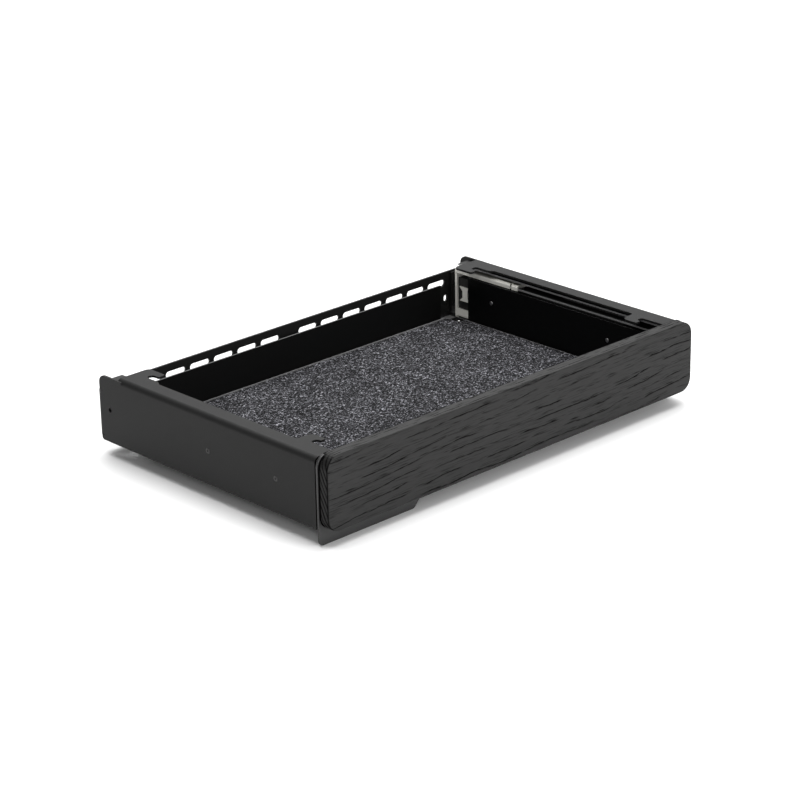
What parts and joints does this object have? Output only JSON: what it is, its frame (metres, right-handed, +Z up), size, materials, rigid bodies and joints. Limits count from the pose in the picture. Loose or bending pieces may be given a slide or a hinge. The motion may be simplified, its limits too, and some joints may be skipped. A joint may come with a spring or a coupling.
{
  "type": "under-shelf drawer unit",
  "caption": "Slide-out drawer unit for a monitor riser: steel side brackets with hooked flanges, ball-bearing slides, a felt-lined steel tray and a dark wood front with a steel pull lip.",
  "frame": {"origin": "centre of the four hook slots' closed ends, in the plane of the brackets' top flanges, which bear on the shelf's underside", "axes": "+X across the drawer to its right as seen from the front, +Y from the wood front to the rear, +Z up; the drawer opens along -Y"},
  "size_m": [0.336, 0.2235, 0.0599],
  "materials": {
    "powder_coated_steel": "satin fine-textured black powder coat",
    "black_slide_steel": "semi-gloss black electro-coat",
    "zinc_steel": "zinc plated, satin",
    "ball_steel": "polished",
    "screw_steel": "blackened steel",
    "black_oak": "open-pored oak, stained black, matt",
    "felt": "mottled grey wool felt",
    "bumper_rubber": "matt black rubber"
  },
  "bodies": {
    "frame": {"bracket_left": "powder_coated_steel", "bracket_right": "powder_coated_steel", "rear_cross_plate": "powder_coated_steel", "cross_plate_rivets": "screw_steel", "slide_screws": "screw_steel", "slide_outer_left": "black_slide_steel", "stop_housing_left": "zinc_steel", "stop_bumper_left": "bumper_rubber", "slide_outer_right": "black_slide_steel", "stop_housing_right": "zinc_steel", "stop_bumper_right": "bumper_rubber"},
    "drawer": {"tray": "powder_coated_steel", "front_plate": "powder_coated_steel", "front_wood": "black_oak", "felt_mat": "felt", "tray_rail_screws": "screw_steel", "front_screws": "screw_steel", "slide_inner_left": "black_slide_steel", "slide_inner_right": "black_slide_steel"},
    "middle_rail_left": {"slide_middle_left": "black_slide_steel"},
    "outer_ball_cage_left": {"outer_cage_left": "zinc_steel", "outer_balls_left": "ball_steel"},
    "inner_ball_cage_left": {"inner_cage_left": "zinc_steel", "inner_balls_left": "ball_steel"},
    "middle_rail_right": {"slide_middle_right": "black_slide_steel"},
    "outer_ball_cage_right": {"outer_cage_right": "zinc_steel", "outer_balls_right": "ball_steel"},
    "inner_ball_cage_right": {"inner_cage_right": "zinc_steel", "inner_balls_right": "ball_steel"}
  },
  "joints": [
    {"name": "drawer_slide", "type": "slide", "parent": "frame", "child": "drawer", "axis": [0, -1, 0], "range_m": [0, 0.15]},
    {"name": "middle_rail_left_slide", "type": "slide", "parent": "frame", "child": "middle_rail_left", "axis": [0, -1, 0], "range_m": [0, 0.075]},
    {"name": "outer_ball_cage_left_slide", "type": "slide", "parent": "frame", "child": "outer_ball_cage_left", "axis": [0, -1, 0], "range_m": [0, 0.0375]},
    {"name": "inner_ball_cage_left_slide", "type": "slide", "parent": "frame", "child": "inner_ball_cage_left", "axis": [0, -1, 0], "range_m": [0, 0.1125]},
    {"name": "middle_rail_right_slide", "type": "slide", "parent": "frame", "child": "middle_rail_right", "axis": [0, -1, 0], "range_m": [0, 0.075]},
    {"name": "outer_ball_cage_right_slide", "type": "slide", "parent": "frame", "child": "outer_ball_cage_right", "axis": [0, -1, 0], "range_m": [0, 0.0375]},
    {"name": "inner_ball_cage_right_slide", "type": "slide", "parent": "frame", "child": "inner_ball_cage_right", "axis": [0, -1, 0], "range_m": [0, 0.1125]}
  ],
  "couplings": [
    {"joint": "middle_rail_left_slide", "follows": "drawer_slide", "ratio": 0.5},
    {"joint": "outer_ball_cage_left_slide", "follows": "drawer_slide", "ratio": 0.25},
    {"joint": "inner_ball_cage_left_slide", "follows": "drawer_slide", "ratio": 0.75},
    {"joint": "middle_rail_right_slide", "follows": "drawer_slide", "ratio": 0.5},
    {"joint": "outer_ball_cage_right_slide", "follows": "drawer_slide", "ratio": 0.25},
    {"joint": "inner_ball_cage_right_slide", "follows": "drawer_slide", "ratio": 0.75}
  ]
}
